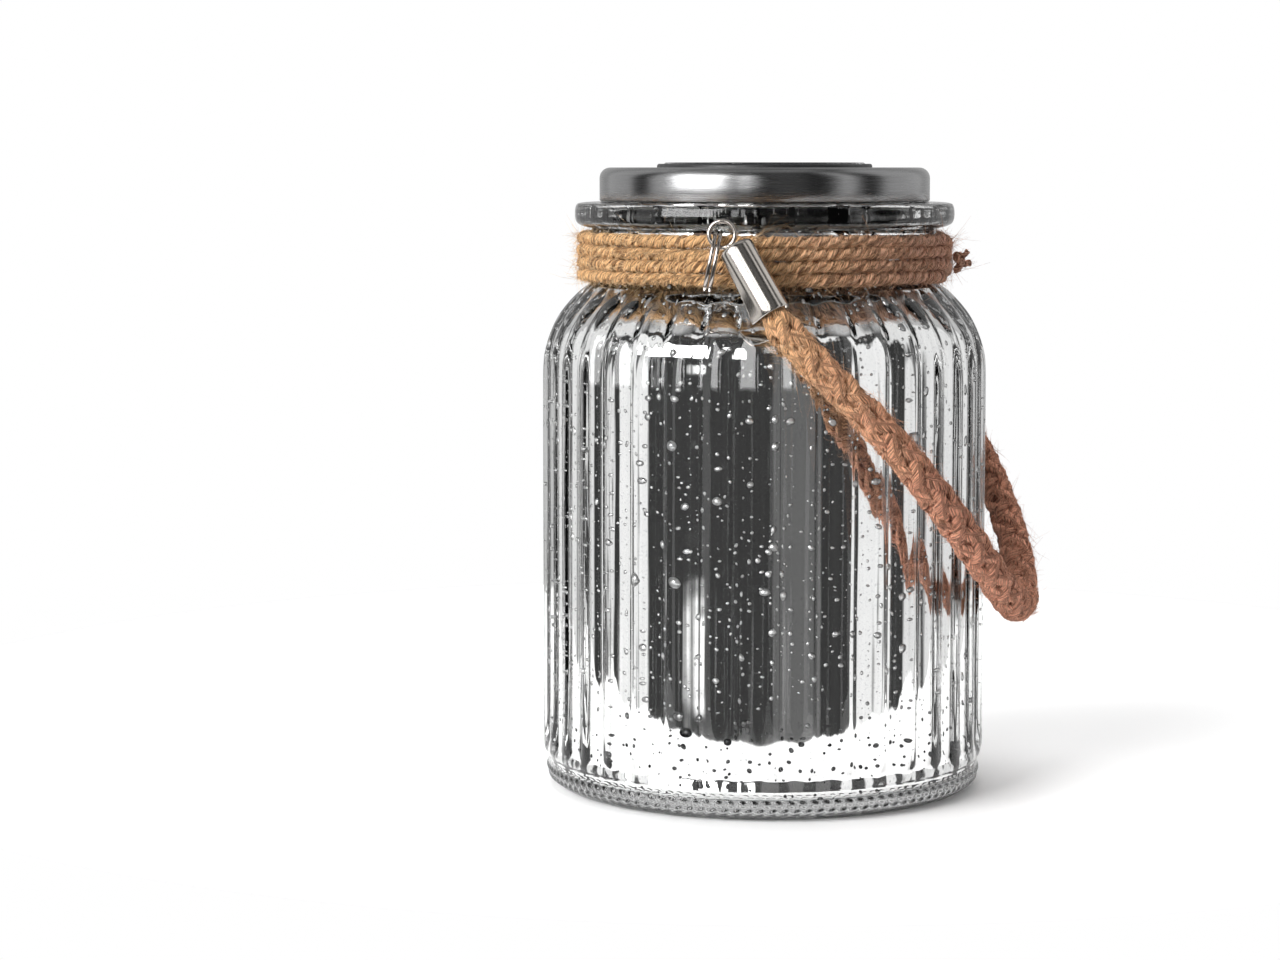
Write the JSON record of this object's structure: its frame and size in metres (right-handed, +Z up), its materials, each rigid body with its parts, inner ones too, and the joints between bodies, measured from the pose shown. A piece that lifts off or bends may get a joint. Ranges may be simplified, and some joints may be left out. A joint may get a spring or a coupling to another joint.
{
  "type": "solar jar lantern",
  "caption": "Fluted silvered-glass jar lantern with a screw-on solar lid, twine-wrapped neck, and a swinging rope handle on split rings and metal ferrules.",
  "frame": {"origin": "centre of the jar's flat base, on the jar's axis", "axes": "+Z up along the jar's axis; the handle swings about a line along Y; +X is the side on which the handle rests"},
  "size_m": [0.1082, 0.1058, 0.1356],
  "materials": {
    "silvered_glass": "clear thick glass, mirror coated on the inside with small bare spots",
    "jute": "twisted natural jute twine, hairy",
    "jute_rope": "thick twisted jute rope with loose fibres",
    "nickel": "polished nickel plate",
    "brushed_steel": "stainless steel, brushed round the rim",
    "white_plastic": "moulded, satin",
    "black_plastic": "moulded, fine texture",
    "gasket": "soft silicone",
    "solar_cell": "dark blue silicon with printed silver lines",
    "clear_window": "clear cast resin over the cell",
    "circuit_board": "green solder mask",
    "red_wire": "extruded insulation",
    "black_wire": "extruded insulation",
    "battery": "shrink wrap over a steel can",
    "contact": "nickel plated spring steel",
    "screw_steel": "zinc plated",
    "led_lens": "clear epoxy lens with a warm phosphor",
    "switch_plastic": "moulded"
  },
  "bodies": {
    "jar": {"glass_jar": "silvered_glass", "neck_twine": "jute", "twine_knot": "jute"},
    "ring_front": {"split_ring_front": "nickel"},
    "ring_back": {"split_ring_back": "nickel"},
    "handle": {"handle_rope": "jute_rope", "ferrule_front": "nickel", "ferrule_back": "nickel", "eye_front": "nickel", "eye_back": "nickel"},
    "solar_insert": {"solar_housing": "black_plastic", "rim_gasket": "gasket", "solar_cell": "solar_cell", "panel_window": "clear_window", "circuit_board": "circuit_board", "wire_red": "red_wire", "wire_black": "black_wire", "battery": "battery", "contact_flat": "contact", "contact_spring": "contact", "base_cover": "black_plastic", "battery_door": "black_plastic", "cover_screw_1": "screw_steel", "cover_screw_2": "screw_steel", "door_screw": "screw_steel", "led_1": "led_lens", "led_2": "led_lens", "led_3": "led_lens", "led_4": "led_lens", "switch_body": "switch_plastic"},
    "switch": {"switch_slider": "white_plastic"},
    "screw_band": {"lid_cover": "brushed_steel", "thread_liner": "white_plastic"}
  },
  "joints": [
    {"name": "handle_swing", "type": "hinge", "parent": "jar", "child": "handle", "pos_m": [0, 0, 0.121], "axis": [0, -1, 0], "range_deg": [0, 265]},
    {"name": "ring_front_lean", "type": "hinge", "parent": "jar", "child": "ring_front", "pos_m": [0, -0.045, 0.121], "axis": [0, -1, 0], "range_deg": [0, 19]},
    {"name": "ring_back_lean", "type": "hinge", "parent": "jar", "child": "ring_back", "pos_m": [0, 0.045, 0.121], "axis": [0, -1, 0], "range_deg": [0, 19]},
    {"name": "lid_lift", "type": "slide", "parent": "jar", "child": "solar_insert", "axis": [0, 0, 1], "range_m": [0, 0.05]},
    {"name": "band_turn", "type": "hinge", "parent": "solar_insert", "child": "screw_band", "pos_m": [0, 0, 0.131], "axis": [0, 0, 1], "range_deg": [0, 300]},
    {"name": "switch_slide", "type": "slide", "parent": "solar_insert", "child": "switch", "axis": [1, 0, 0], "range_m": [0, 0.003]}
  ],
  "couplings": [
    {"joint": "ring_front_lean", "follows": "handle_swing", "ratio": 0.07},
    {"joint": "ring_back_lean", "follows": "handle_swing", "ratio": 0.07}
  ]
}
